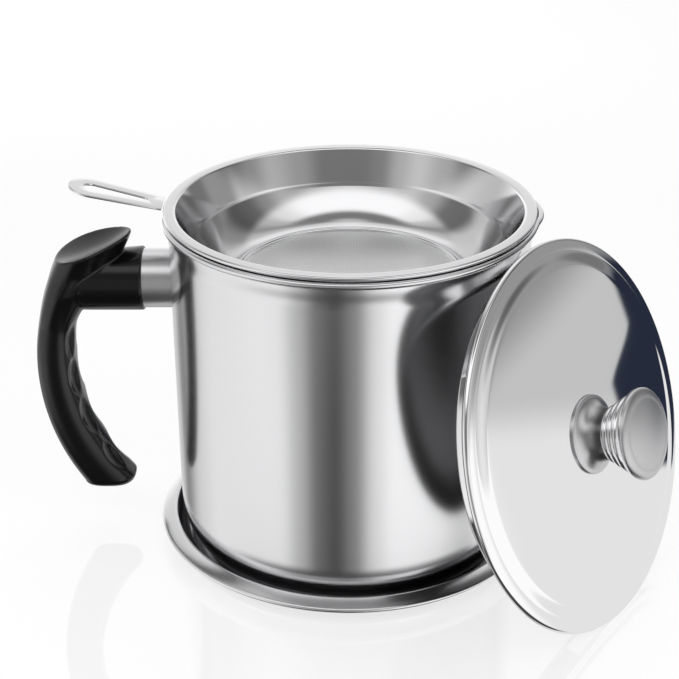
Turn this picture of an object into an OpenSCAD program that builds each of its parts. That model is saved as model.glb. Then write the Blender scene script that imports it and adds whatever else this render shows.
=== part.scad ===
// Grease pot with a drip tray, a lift-out strainer and a loose lid.
// Drawn steel pot with a rolled rim, a pouring lip and a moulded black handle.
// Frame: origin at the middle of the tray's underside, +Z up, handle towards -X,
// pouring lip towards +X, and the lid leaning on the pot's front right.

/* [Pot] */
// Outer diameter of the pot wall
pot_d = 140; // [124:1:156]
// Height of the pot from its base to the top of its rolled rim
pot_h = 138.2; // [126:0.1:160]
// Thickness of the pot's drawn sheet
pot_sheet = 0.8; // [0.6:0.1:1.1]
// Radius of the rounded corner between base and wall
base_corner_r = 11; // [6:0.5:16]
// How far the neck flares out from the wall
neck_flare = 1; // [0.4:0.1:1.5]
// Height of the flared neck under the rolled rim
neck_h = 10; // [6:0.5:14]
// Diameter of the rolled rim
rim_bead_d = 2.6; // [2:0.1:3.4]
// Reach of the pouring lip beyond the rolled rim
lip_reach = 1.9; // [1:0.1:3]
// Radius of the pouring lip, seen from above
lip_r = 32; // [24:1:40]

/* [Tray] */
// Thickness of the tray's sheet
tray_sheet = 0.7; // [0.5:0.1:1]
// Gap between the pot wall and the tray's upright wall
tray_gap = 1.6; // [1:0.1:3]
// Height of the tray's inner crest
tray_h = 9.9; // [8:0.1:14]
// Width of the tray's sloping band, from the crest to the rolled edge
tray_band = 4.4; // [3:0.1:8]
// Drop of the sloping band
tray_drop = 1.6; // [0.8:0.1:2.5]
// Diameter of the tray's rolled edge
tray_bead_d = 2.2; // [1.8:0.1:3]

/* [Strainer] */
// Thickness of the strainer's sheet
strainer_sheet = 0.6; // [0.4:0.1:0.9]
// Gap between the pot's rolled rim and the strainer's flange
seat_gap = 0.3; // [0.2:0.05:0.6]
// Outer radius of the strainer's flange short of the pot's rim radius
flange_set_in = 0.9; // [0.4:0.1:1.5]
// Width of the strainer's flange
flange_w = 4.9; // [3.5:0.1:6.5]
// Diameter of the rolled edge of the strainer's flange
flange_bead_d = 1.9; // [1.5:0.1:2.4]
// Depth of the strainer's upper wall below the flange
upper_depth = 12.6; // [9:0.2:16]
// How far the upper wall draws in on its way down
upper_taper = 5.6; // [3:0.2:8]
// Depth of the mesh below the flange
mesh_depth = 28.6; // [22:0.2:34]
// Radius of the open mesh
mesh_r = 42.2; // [34:0.2:46]
// Thickness of the mesh disc
mesh_t = 0.4; // [0.3:0.05:0.6]
// Pitch of the holes drawn in the mesh
hole_pitch = 5; // [4.8:0.1:8]
// Width of a hole across its corners
hole_w = 3.6; // [2.4:0.1:4.2]
// Width of the ring that clamps the mesh
ring_w = 2.8; // [2:0.1:4]
// Height of the ring that clamps the mesh
ring_h = 1.3; // [0.8:0.1:2]

/* [Strainer tab] */
// Thickness of the strainer's lifting tab
tab_t = 1.1; // [0.8:0.1:1.6]
// Length of the tab beyond the flange
tab_len = 37; // [28:0.5:50]
// Width of the tab at the flange
tab_root_w = 12.4; // [9:0.2:16]
// Width of the tab at its rounded end
tab_end_w = 18; // [14:0.2:22]
// Upward tilt of the tab
tab_tilt = 13.2; // [4:0.2:20]
// Width of the slot at its outer end
slot_end_w = 7.2; // [5:0.2:9]
// Width of the slot at its inner end
slot_root_w = 3.6; // [2.4:0.2:5]

/* [Handle] */
// Drop from the pot's rim to the handle screw
handle_drop = 28.9; // [24:0.1:34]
// Outer diameter of the steel ferrule
ferrule_d = 23.4; // [20:0.1:27]
// Wall of the ferrule
ferrule_wall = 0.8; // [0.6:0.1:1.2]
// Length of ferrule that shows between the pot and the grip
ferrule_len = 10.5; // [7:0.5:16]
// Depth of the socket that takes the ferrule's end
socket_depth = 2.2; // [1:0.1:4]
// Diameter of the grip's round arm
arm_d = 25.4; // [24:0.1:29]
// Radius of the arc along the grip's back
back_r = 96; // [88:1:110]
// How much tighter the finger side curves than the back
finger_tighter = 12.3; // [9:0.1:16]
// Drop from the handle screw to where the grip stands out furthest
grip_bulge_drop = 38.5; // [32:0.5:46]
// Distance from the pot wall to the back of the grip at its widest
grip_reach = 55.6; // [52:0.2:60]
// Width of the grip across, at the elbow
grip_top_w = 22; // [20:0.2:26]
// Width of the grip across, at the bottom
grip_end_w = 16.8; // [15:0.2:20]
// Reach of the finger hollows into the grip, from the ridge between them
finger_dip = 2.7; // [1.8:0.1:3.4]
// Length of the thumb rest
thumb_len = 32.2; // [28:0.2:37]
// Width of the thumb rest
thumb_w = 28.8; // [25:0.2:32]
// Slope of the thumb rest
thumb_slope = 19.5; // [15:0.5:24]
// Depth of the hollow in the thumb rest
thumb_dip = 2.8; // [1.5:0.1:3.4]
// Diameter of the handle screw
screw_d = 5; // [4:0.1:6]

/* [Lid] */
// How far the lid's edge stands out beyond the strainer's flange
lid_over = 1.8; // [0.5:0.1:4]
// Thickness of the lid's sheet
lid_sheet = 0.7; // [0.5:0.1:1]
// Diameter of the lid's rolled edge
lid_bead_d = 2.6; // [2.2:0.1:3.2]
// Height of the rounded shoulder above the flange
shoulder_h = 2.4; // [1.5:0.1:4]
// Rise of the dome above the shoulder
dome_rise = 2.1; // [1:0.1:6]
// Gap between the locating ring and the strainer's mouth
plug_gap = 0.4; // [0.3:0.1:1.2]
// Depth of the locating ring below the lid's edge
plug_depth = 9; // [6:0.2:11]
// Lean of the lid back from upright
lid_lean = 18.9; // [14:0.1:24]
// Direction that the leaning lid faces
lid_facing = -36.1; // [-50:0.1:-25]
// Direction of the leaning lid's middle from the pot's middle
lid_place = -32.1; // [-45:0.1:-22]
// Gap between the leaning lid and the pot
lean_gap = 0.35; // [0.2:0.05:0.6]

/* [Knob] */
// Radius of the knob's foot
foot_r = 14.8; // [12:0.1:18]
// Thickness of the foot's edge
foot_h = 2; // [1.2:0.1:3]
// Radius of the knob's waist
waist_r = 9.6; // [8:0.1:11]
// Height of the waist above the foot
waist_h = 10.2; // [8:0.1:13]
// Radius of the knob's head
head_r = 16.8; // [15:0.1:19]
// Height of the widest part of the head above the foot
head_h = 22.4; // [20:0.1:25]
// Rise of the head's face above its widest part
face_h = 3; // [2:0.1:5]
// Diameter of the knob's screw
knob_screw_d = 4; // [3:0.1:5]

/* [Hidden] */
$fn = 96;

steel = "#c9cbce";
steel_dark = "#a5a8ac";
bakelite = "#1b1b1c";

// Pot
pot_r = pot_d / 2;
pot_z = tray_sheet;
pot_top = pot_z + pot_h;
rim_bead_r = rim_bead_d / 2;
neck_top = pot_top - rim_bead_r;
neck_bottom = neck_top - neck_h;
bead_tuck = 0.2;
rim_r = pot_r + neck_flare - pot_sheet + rim_bead_d - bead_tuck;
neck_steps = 6;
lip_x = rim_r + lip_reach - lip_r;
lip_hide = 1;
lip_bead_r = rim_bead_r * 0.9;
lip_start = neck_bottom + 1.7;
// Tray
tray_wall_r = pot_r + tray_gap;
tray_corner_r = 4.5;
crest_r = 1.1;
// Strainer
flange_r = rim_r - flange_set_in;
flange_bead_r = flange_bead_d / 2;
flange_bottom = pot_top + seat_gap;
flange_top = flange_bottom + flange_bead_d;
mouth_r = flange_r - flange_w;
mouth_round = 1.3;
step_r = mouth_r - upper_taper;
step_z = flange_top - upper_depth;
mesh_z = flange_top - mesh_depth;
ring_seat_w = 1.2;
ring_lap = 0.4;
shelf_r = mesh_r + ring_w + 0.5;
// Handle
axis_z = pot_top - handle_drop;
arm_r = arm_d / 2;
arm_end_x = -(pot_r + ferrule_len);
ferrule_r = ferrule_d / 2;
fit_gap = 0.1;
back_c = [-(pot_r + grip_reach) + back_r, axis_z - grip_bulge_drop];
finger_set = [3.2, 6.3];
finger_c = back_c + finger_set;
finger_r = back_r - finger_tighter;
grip_sides = 32;
body_power = 2.7;
// Fingers: [angle along the finger side, share of the full hollow]
finger_spots = [[10.3, 0.75], [-0.8, 0.95], [-14.2, 1.05], [-29.6, 0.95]];
hollow_r = 8.5;
hollow_len = 17.5;
hollow_side = 7.5;
hollow_steps = 6;
finger_steps = 22;
// Elbow and thumb rest
elbow_drop = 17.7;
elbow_pull = [1.5, 9];
elbow_steps = 10;
elbow_a = back_angle(axis_z - elbow_drop);
elbow_x = back_c[0] - sqrt(pow(back_r - arm_r - 0.3, 2) - pow(axis_z - back_c[1], 2));
thumb_tail = 8.2;
rim_a = back_angle(axis_z + thumb_tail);
rim_flare = 1.8;
rim_back = on_back(rim_a, rim_flare);
thumb_dir = [cos(thumb_slope), sin(thumb_slope)];
rim_front = rim_back + thumb_len * thumb_dir;
rim_pull = [4.5, 14];
thumb_egg = -0.26;
flare_from = 0.72;
rim_rise = 0.35;
rim_in = 0.93;
dish_rings = 6;
// Lower end
heel_drop = 89.7;
heel_a = back_angle(axis_z - heel_drop);
heel_fan = 9;
toe_a = heel_a - 7.2;
heel_round = 2.3;
toe_in = 4.5;
toe_down = 4.8;
end_steps = 4;
screw_in = 40;
screw_head_d = 8.6;
screw_head_h = 3.2;
screw_seat_x = -(pot_r + screw_in);
washer_t = 1;
knob_washer_d = 12;
boss_d = 10;
boss_len = 12;
plate_t = 1.5;
// Lid, in its own frame: the axis is Z and the rolled edge lies at Z 0
lid_r = flange_r + lid_over;
lid_bead_r = lid_bead_d / 2;
plug_r = mouth_r - plug_gap;
shoulder_r = plug_r - 1.4;
dome_top = shoulder_h + dome_rise;
foot_seat_r = foot_r - 2.3;
foot_z = dome_z(foot_seat_r) + lid_sheet / 2;
knob_bore = knob_screw_d + 0.4;
thread_gap = 0.05;
lid_z = (lid_r - lid_bead_r) * cos(lid_lean) + lid_bead_r;
lid_turn = 72;

// ---- Profiles ----
function arc(c, r, a0, a1, n = 8) =
    [for (i = [0:n]) let (a = a0 + (a1 - a0) * i / n) c + r * [cos(a), sin(a)]];
function unit(v) = v / norm(v);
function left(v) = [-v[1], v[0]];
function beside(p, i, d) =
    let (n = len(p),
         before = unit(i == 0 ? p[1] - p[0] : p[i] - p[i - 1]),
         after = unit(i == n - 1 ? p[i] - p[i - 1] : p[i + 1] - p[i]),
         m = unit(left(before) + left(after)))
    p[i] + m * d / (m * left(after));
// Closed outline of a sheet of thickness t whose middle follows the path
function sheet_outline(path, t) =
    concat([for (i = [0:len(path) - 1]) beside(path, i, t / 2)],
           [for (i = [len(path) - 1:-1:0]) beside(path, i, -t / 2)]);
module spun_sheet(path, t) rotate_extrude() polygon(sheet_outline(path, t));
module bead(ring_radius, wire_r, z) translate([0, 0, z])
    rotate_extrude() translate([ring_radius, 0]) circle(wire_r, $fn = 32);

// Faces of a loft: rings of points, all of one count, closed by flat ends
module loft(rings) {
    n = len(rings[0]);
    last = len(rings) - 1;
    polyhedron(
        points = [for (ring = rings) each ring],
        faces = concat(
            [[for (k = [n - 1:-1:0]) k]],
            [for (j = [0:last - 1], k = [0:n - 1])
                let (a = j * n + k, b = j * n + (k + 1) % n) [a, b, b + n]],
            [for (j = [0:last - 1], k = [0:n - 1])
                let (a = j * n + k, b = j * n + (k + 1) % n) [a, b + n, a + n]],
            [[for (k = [0:n - 1]) last * n + k]]));
}

// ---- Tray ----
module tray() color(steel) {
    half = tray_sheet / 2;
    bead_r = tray_bead_d / 2;
    wall = tray_wall_r + half;
    crest_out = wall + 1.5;
    edge = crest_out + tray_band;
    crest_z = tray_h - half;
    edge_z = crest_z - tray_drop;
    path = concat(
        [[0, half]],
        arc([wall - tray_corner_r, half + tray_corner_r], tray_corner_r, -90, 0),
        arc([wall + 0.4 + crest_r, crest_z - crest_r], crest_r, 180, 75, 6),
        [[edge, edge_z]]);
    spun_sheet(path, tray_sheet);
    bead(edge, bead_r, edge_z + half - bead_r);
}

// ---- Pot ----
function neck(t) = neck_flare * (1 - cos(180 * t)) / 2;
function neck_r(z) = pot_r + neck(min(1, max(0, (z - neck_bottom) / neck_h)));
// Outline from the axis, set in from the outer surface by the sheet's thickness
function pot_outline(inset, top) = concat(
    [[0, pot_z + inset]],
    arc([pot_r - base_corner_r, pot_z + base_corner_r], base_corner_r - inset, -90, 0),
    [for (i = [0:neck_steps]) let (t = i / neck_steps)
        [pot_r + neck(t) - inset, neck_bottom + neck_h * t]],
    [[pot_r + neck_flare - inset, top], [0, top]]);
// The lip is a cone that leaves the neck as it rises and is widest at the rim
function lip_outline(inset, top) = let (rim = lip_r - 2 * lip_bead_r + pot_sheet + bead_tuck)
    [[0, lip_start], [pot_r - lip_hide - lip_x - inset, lip_start],
     [rim - inset, neck_top], [rim - inset, top], [0, top]];
module pot_shell() color(steel) difference() {
    union() {
        rotate_extrude() polygon(pot_outline(0, neck_top + bead_tuck));
        bead(rim_r - rim_bead_r, rim_bead_r, neck_top);
        translate([lip_x, 0, 0]) {
            rotate_extrude() polygon(lip_outline(0, neck_top + bead_tuck / 2));
            bead(lip_r - lip_bead_r, lip_bead_r, neck_top);
        }
    }
    rotate_extrude() polygon(pot_outline(pot_sheet, pot_top + 1));
    translate([lip_x, 0, 0]) rotate_extrude() polygon(lip_outline(pot_sheet, pot_top + 2));
}

// ---- Handle fixings: everything on the screw's line, along -X ----
module along_arm(x) translate([x, 0, axis_z]) rotate([0, -90, 0]) children();
module pot_bulk(extra = 0) cylinder(r = pot_r + extra, h = 2 * pot_h);
// Plate hugging the wall, with a threaded boss standing on it
module handle_bracket() color(steel_dark) difference() {
    along_arm(0) {
        cylinder(d = boss_d, h = pot_r + boss_len);
        cylinder(r = ferrule_r - ferrule_wall - 0.8, h = pot_r + plate_t);
    }
    pot_bulk();
    along_arm(pot_r * -1 - 2) cylinder(d = screw_d + 2 * thread_gap, h = boss_len);
}
module ferrule() color(steel) difference() {
    along_arm(0) cylinder(r = ferrule_r, h = -arm_end_x + socket_depth - fit_gap);
    along_arm(-1) cylinder(r = ferrule_r - ferrule_wall, h = 2 * pot_r);
    pot_bulk();
}
module grip_screw() color(steel_dark) {
    along_arm(-(pot_r + 3)) cylinder(d = screw_d, h = pot_r - screw_seat_x - 2 * pot_r + washer_t - 3);
    along_arm(screw_seat_x - washer_t) cylinder(d = screw_head_d, h = screw_head_h);
}
module screw_washer() color(steel_dark) along_arm(screw_seat_x) difference() {
    cylinder(d = screw_head_d + 0.8, h = washer_t);
    translate([0, 0, -1]) cylinder(d = screw_d + 2 * fit_gap, h = washer_t + 2);
}

// ---- Grip ----
// A ray from the centre of the back's arc crosses the back and the finger side
function ray(a) = [-cos(a), sin(a)];
function on_back(a, out = 0) = back_c + (back_r + out) * ray(a);
function on_fingers(a) = let (u = ray(a), d = finger_c - back_c, s = u * d)
    back_c + (s + sqrt(finger_r * finger_r - d * d + s * s)) * u;
function back_angle(z) = asin((z - back_c[1]) / back_r);
// Cubic curve from p to s, pulled towards q and r
function curve(p, q, r, s, t) =
    pow(1 - t, 3) * p + 3 * t * pow(1 - t, 2) * q + 3 * t * t * (1 - t) * r + pow(t, 3) * s;
// Rounded section from a point on the back to one on the finger side, where phi is 0
function section(back, front, half_w, power, egg = 0) =
    let (mid = (back + front) / 2, half = (front - back) / 2)
    [for (i = [0:grip_sides - 1])
        let (phi = 360 * i / grip_sides - 180, c = cos(phi), s = sin(phi),
             q = pow(pow(abs(c), power) + pow(abs(s), power), -1 / power),
             p = mid + half * q * c)
        [p[0], half_w * q * s * (1 + egg * c), p[1]]];
// The saucer of the thumb rest, from its middle out over its rounded rim
dish = concat(
    [for (i = [1:dish_rings]) let (k = rim_in * i / dish_rings)
        [k, rim_rise - thumb_dip * (1 - pow(k / rim_in, 2))]],
    [[0.965, rim_rise + 0.1], [0.99, rim_rise - 0.2]]);
function dish_section(k, up) =
    let (m = (rim_back + rim_front) / 2 + up * [-thumb_dir[1], thumb_dir[0]],
         h = thumb_len / 2 * k * thumb_dir)
    section(m - h, m + h, thumb_w / 2 * k, 2, thumb_egg);
// The body fans up out of the fingers' curve and widens into the thumb rest
function elbow_section(t) =
    let (start = on_fingers(elbow_a), flare = pow(max(0, (t - flare_from) / (1 - flare_from)), 1.2),
         body_w = grip_top_w + (arm_d + 0.4 - grip_top_w) * min(1, 2 * t))
    section(on_back(elbow_a + (rim_a - elbow_a) * t, rim_flare * pow(t, 1.3)),
            curve(start, start + elbow_pull, rim_front - rim_pull, rim_front, t),
            (body_w + (thumb_w - body_w) * flare) / 2,
            body_power + (2 - body_power) * t, thumb_egg * min(1, 1.6 * t));
function finger_section(t) =
    let (a = elbow_a + (toe_a - elbow_a) * t, fan_a = heel_a + heel_fan,
         back_a = a > fan_a ? a : fan_a + (a - fan_a) * (heel_a - fan_a) / (toe_a - fan_a))
    section(on_back(back_a), on_fingers(a), (grip_top_w + (grip_end_w - grip_top_w) * t) / 2,
            body_power);
// The end is rounded under, tighter at the heel than at the toe
function end_section(t) = let (in = 1 - cos(90 * t), down = sin(90 * t))
    section(on_back(heel_a) + [heel_round * in, -heel_round * down],
            on_fingers(toe_a) - [toe_in * in, toe_down * down],
            grip_end_w / 2 * (1 - 0.45 * in), body_power);
module grip_body() loft(concat(
    [for (p = dish) dish_section(p[0], p[1])],
    [for (i = [elbow_steps:-1:1]) elbow_section(i / elbow_steps)],
    [for (i = [0:finger_steps]) finger_section(i / finger_steps)],
    [for (i = [1:end_steps]) end_section(i / end_steps)]));
// The arm ends in a ball inside the elbow, cut off below the thumb rest's dish
module grip_arm() difference() {
    union() {
        along_arm(arm_end_x) cylinder(r = arm_r, h = arm_end_x - elbow_x);
        translate([elbow_x, 0, axis_z]) sphere(arm_r);
    }
    translate([rim_back[0], -arm_d, rim_back[1]]) rotate([0, -thumb_slope, 0])
        translate([0, 0, -thumb_dip - 1]) cube([thumb_len, 2 * arm_d, arm_d]);
}
// One finger's hollow is a spindle along the finger side, beside a middle ridge
module finger_hollows() for (spot = finger_spots, side = [-1, 1]) {
    length = hollow_len * spot[1];
    p = on_fingers(spot[0]) + (finger_dip - hollow_r * spot[1]) * ray(spot[0]);
    translate([p[0], side * hollow_side, p[1]]) rotate([0, spot[0], 0])
        rotate_extrude() polygon([for (i = [-hollow_steps:hollow_steps]) let (t = i / hollow_steps)
            [hollow_r * spot[1] * (1 - t * t), length * t]]);
}
module grip() color(bakelite) difference() {
    union() {
        grip_body();
        grip_arm();
    }
    finger_hollows();
    along_arm(arm_end_x + 1) cylinder(r = ferrule_r + fit_gap, h = socket_depth + 1);
    along_arm(arm_end_x + 1) cylinder(d = boss_d + 1, h = boss_len + 3 - ferrule_len + socket_depth);
    along_arm(arm_end_x) cylinder(d = screw_d + 0.4, h = 2 * screw_in);
    along_arm(screw_seat_x) cylinder(d = screw_head_d + 1.2, h = screw_in);
}

// ---- Strainer ----
module strainer_bowl() color(steel) {
    half = strainer_sheet / 2;
    band_z = flange_top - half;
    path = concat(
        [[mesh_r - ring_seat_w, mesh_z - half], [shelf_r, mesh_z - half]],
        arc([shelf_r, mesh_z + 4 - half], 4, -80, -52, 3),
        arc([step_r - 7.2, step_z + 0.5], 6.6, -48, -14, 5),
        [[step_r, step_z + 2.4]],
        arc([mouth_r + mouth_round, band_z - mouth_round], mouth_round, 165, 90, 6),
        [[flange_r - flange_bead_r, band_z]]);
    spun_sheet(path, strainer_sheet);
    bead(flange_r - flange_bead_r, flange_bead_r, flange_top - flange_bead_r);
}
module strainer_mesh() color(steel_dark) {
    rows = ceil(mesh_r / (hole_pitch * sin(60)));
    open_r = mesh_r - hole_w / 2 - 0.6;
    translate([0, 0, mesh_z]) linear_extrude(mesh_t) difference() {
        circle(mesh_r + ring_w - ring_lap);
        for (row = [-rows:rows], col = [-rows - 1:rows + 1]) {
            x = (col + (row % 2 == 0 ? 0 : 0.5)) * hole_pitch;
            y = row * hole_pitch * sin(60);
            if (norm([x, y]) < open_r) translate([x, y]) circle(d = hole_w, $fn = 6);
        }
    }
}
module mesh_ring() color(steel) {
    low = mesh_z + mesh_t;
    round_r = min(ring_h, ring_w / 2) * 0.8;
    rotate_extrude() polygon(concat(
        [[mesh_r, low], [mesh_r + ring_w, low]],
        arc([mesh_r + ring_w - round_r, low + ring_h - round_r], round_r, 0, 90, 5),
        arc([mesh_r + round_r, low + ring_h - round_r], round_r, 90, 180, 5)));
}
module strainer_tab() color(steel) {
    root_x = flange_r - 3;
    end_r = tab_end_w / 2;
    far = tab_len - end_r + 3;
    slot_far = far - 0.5;
    slot_near = 11;
    translate([0, 0, flange_top - flange_bead_r]) difference() {
        translate([-root_x, 0, 0]) rotate([0, tab_tilt, 0]) translate([0, 0, -tab_t / 2])
            linear_extrude(tab_t) mirror([1, 0]) difference() {
                union() {
                    translate([far, 0]) circle(end_r);
                    polygon([[0, -tab_root_w / 2], [far - 6, -end_r * 0.93], [far, -end_r],
                             [far, end_r], [far - 6, end_r * 0.93], [0, tab_root_w / 2]]);
                }
                translate([slot_far, 0]) circle(slot_end_w / 2);
                translate([slot_near, 0]) circle(slot_root_w / 2);
                polygon([[slot_near, -slot_root_w / 2], [slot_far, -slot_end_w / 2],
                         [slot_far, slot_end_w / 2], [slot_near, slot_root_w / 2]]);
            }
        translate([0, 0, -20]) cylinder(r = flange_r - 0.1, h = 40);
    }
}

// ---- Lid ----
function dome_z(r) = dome_top - dome_rise * pow(r / shoulder_r, 2);
// The leaning lid stands on its edge, with its locating ring just off the pot's neck
face_dir = [cos(lid_facing), sin(lid_facing)];
lid_n = [cos(lid_lean) * face_dir[0], cos(lid_lean) * face_dir[1], sin(lid_lean)];
lid_u = [-face_dir[1], face_dir[0], 0];
lid_w = cross(lid_n, lid_u);
place_dir = [cos(lid_place), sin(lid_place)];
// Distance of the lid's middle at which one point of its ring just clears the neck
function lean_reach(t) =
    let (p = (plug_r + lid_sheet / 2) * (cos(t) * lid_u + sin(t) * lid_w) - plug_depth * lid_n,
         along = p[0] * place_dir[0] + p[1] * place_dir[1],
         across = p[0] * place_dir[1] - p[1] * place_dir[0],
         k = neck_r(lid_z + p[2]) + lean_gap)
    abs(across) < k ? sqrt(k * k - across * across) - along : 0;
lid_dist = max([for (i = [0:lid_turn - 1]) lean_reach(360 * i / lid_turn)]);
module leaning() translate([lid_dist * place_dir[0], lid_dist * place_dir[1], lid_z])
    rotate([0, 90 - lid_lean, lid_facing]) children();

module lid_shell() color(steel) leaning() {
    half = lid_sheet / 2;
    edge_r = lid_r - lid_bead_r;
    flange_z = lid_bead_r - half;
    hole_edge = knob_bore / 4;
    dome = [for (i = [0:8]) let (r = hole_edge + (shoulder_r - hole_edge) * i / 8.4) [r, dome_z(r)]];
    path = concat(dome,
        arc([shoulder_r - 0.6, dome_z(shoulder_r) - 1.5], 1.5, 80, 30, 4),
        [[plug_r + 2.6, flange_z + 0.25], [edge_r, flange_z]]);
    difference() {
        spun_sheet(path, lid_sheet);
        cylinder(d = knob_bore, h = 4 * dome_top, center = true);
    }
    bead(edge_r, lid_bead_r, 0);
}
// Locating ring spot-welded under the flange, with a turned-in lower hem
module lid_ring() color(steel) leaning() {
    wall = plug_r - lid_sheet / 2;
    under = lid_bead_r - lid_sheet * 1.5;
    path = concat(
        [[wall + 3.2, under]],
        arc([wall + 1.2, under - 1.2], 1.2, 90, 180, 5),
        arc([wall - 1.2, -plug_depth + 1.2 + lid_sheet / 2], 1.2, 0, -80, 5));
    spun_sheet(path, lid_sheet);
}

// ---- Knob ----
module knob_base() color(steel) leaning() translate([0, 0, foot_z]) difference() {
    rotate_extrude() polygon(concat(
        [[0, 0], [foot_r - 0.4, 0], [foot_r, 0.4], [foot_r, foot_h - 0.6]],
        arc([foot_r - 0.6, foot_h - 0.6], 0.6, 0, 90, 3),
        [for (i = [0:8]) let (t = i / 8)
            [waist_r + (foot_r - 1.4 - waist_r) * pow(1 - sin(90 * t), 1.5),
             foot_h + 0.1 + (waist_h - foot_h - 0.1) * (1 - cos(90 * t)) * 0.4
             + (waist_h - foot_h - 0.1) * 0.6 * t]],
        [[0, waist_h]]));
    translate([0, 0, -0.01]) cylinder(r = foot_seat_r, h = 0.6);
    translate([0, 0, -1]) cylinder(d = knob_bore, h = waist_h + 2);
}
// Three swelling rings climb to a mushroom head
module knob_head() color(steel) leaning() translate([0, 0, foot_z]) difference() {
    rim = 2.4;
    low = [waist_r + 1.3, waist_h + 1.4];
    high = [head_r - 2.6, head_h - 4.6];
    rotate_extrude() polygon(concat(
        [[0, waist_h], [waist_r, waist_h]],
        [for (i = [0:2]) each arc(low + (high - low) * i / 2 - [1.4, 0], 1.4, -60, 50, 4)],
        arc([head_r - rim, head_h], rim, -75, 0, 6),
        [for (i = [1:5]) let (t = i / 5)
            [head_r - rim * 1.6 * (1 - cos(90 * t)), head_h + face_h * 0.62 * sin(90 * t)]],
        [for (i = [1:6]) let (r = (head_r - rim * 1.6) * (1 - i / 6))
            [r, head_h + face_h * (1 - 0.38 * pow(r / (head_r - rim * 1.6), 2))]]));
    translate([0, 0, waist_h - 1]) cylinder(d = knob_screw_d + 2 * thread_gap, h = 9);
}
module knob_screw() color(steel_dark) leaning() {
    seat = dome_top - lid_sheet / 2 - washer_t - 0.1;
    translate([0, 0, seat - 2.4]) cylinder(d = 7.6, h = 2.4);
    translate([0, 0, seat - 0.5]) cylinder(d = knob_screw_d, h = foot_z + waist_h + 7 - seat);
}
module knob_washer() color(steel_dark) leaning()
    translate([0, 0, dome_top - lid_sheet / 2 - washer_t - 0.1]) difference() {
        cylinder(d = knob_washer_d, h = washer_t);
        translate([0, 0, -1]) cylinder(d = knob_bore, h = washer_t + 2);
    }

tray();
pot_shell();
handle_bracket();
ferrule();
grip();
grip_screw();
screw_washer();
strainer_bowl();
strainer_mesh();
mesh_ring();
strainer_tab();
lid_shell();
lid_ring();
knob_base();
knob_head();
knob_screw();
knob_washer();
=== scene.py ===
import math

import bmesh
import bpy
from mathutils import Matrix, Vector


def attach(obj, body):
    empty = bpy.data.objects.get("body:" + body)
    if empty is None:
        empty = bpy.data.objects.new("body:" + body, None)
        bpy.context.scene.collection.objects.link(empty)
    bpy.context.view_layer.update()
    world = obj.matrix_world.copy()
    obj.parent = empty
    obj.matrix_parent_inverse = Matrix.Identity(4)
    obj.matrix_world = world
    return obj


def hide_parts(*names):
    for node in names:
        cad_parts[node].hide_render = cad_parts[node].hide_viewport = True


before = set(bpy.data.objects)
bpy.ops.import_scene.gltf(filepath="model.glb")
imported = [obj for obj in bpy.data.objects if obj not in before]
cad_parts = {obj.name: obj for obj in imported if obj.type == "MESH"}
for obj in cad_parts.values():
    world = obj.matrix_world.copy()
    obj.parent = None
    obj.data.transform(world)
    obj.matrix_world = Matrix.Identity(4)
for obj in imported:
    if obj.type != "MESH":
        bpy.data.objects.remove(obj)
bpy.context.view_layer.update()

# ---- Drip tray ----
# A shallow dish spun from stainless sheet. Its wall turns over at a rounded crest
# into a sloping band with a rolled edge. The wall's inner side and the corner are
# painted dark, as painted shade for the gap under the pot.
MM = 0.001
TRAY_SHEET = 0.7
TRAY_WALL = 71.95
TRAY_CORNER = 4.5
TRAY_CREST = 9.55
TRAY_CREST_R = 1.1
CREST_OUT = 0.4
TRAY_BAND = 4.4
TRAY_DROP = 1.6
TRAY_BEAD = 1.1


def arc(cx, cz, radius, start, end, steps=12):
    turns = [math.radians(start + (end - start) * i / steps) for i in range(steps + 1)]
    return [(cx + radius * math.cos(a), cz + radius * math.sin(a)) for a in turns]


def beside(path, shift):
    """The path moved to its left by shift, with mitred corners."""
    moved = []
    for i, p in enumerate(path):
        p = Vector(p)
        ahead = (Vector(path[min(i + 1, len(path) - 1)]) - p) if i < len(path) - 1 else None
        behind = (p - Vector(path[i - 1])) if i else None
        ahead, behind = ahead or behind, behind or ahead
        lefts = [Vector((-d.y, d.x)).normalized() for d in (behind, ahead)]
        middle = (lefts[0] + lefts[1]).normalized()
        moved.append(tuple(p + middle * shift / max(0.3, middle.dot(lefts[1]))))
    return moved


def sheet_outline(path, thick, bead=0.0):
    """Closed outline of sheet metal along a path, its end rolled into a bead."""
    upper, lower = beside(path, thick / 2), beside(path, -thick / 2)
    roll = []
    if bead:
        end, along = Vector(path[-1]), Vector(path[-1]) - Vector(path[-2])
        left = Vector((-along.y, along.x)).normalized()
        middle = end + left * (thick / 2 - bead)
        top = math.degrees(math.atan2(left.y, left.x))
        meets = math.degrees(math.acos(1 - thick / bead))
        roll = arc(middle.x, middle.y, bead, top, top + meets - 360, 30)[1:]
        lower = lower[:-1]
    return upper + roll + lower[::-1]


def finish_mesh(name, verts, faces, crease=40):
    """An object from points in millimetres, its faces turned outwards."""
    mesh = bpy.data.meshes.new(name)
    mesh.from_pydata([Vector(v) * MM for v in verts], [], faces)
    shape = bmesh.new()
    shape.from_mesh(mesh)
    bmesh.ops.recalc_face_normals(shape, faces=shape.faces)
    shape.to_mesh(mesh)
    shape.free()
    mesh.shade_smooth()
    mesh.set_sharp_from_angle(angle=math.radians(crease))
    piece = bpy.data.objects.new(name, mesh)
    bpy.context.scene.collection.objects.link(piece)
    return piece


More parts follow.
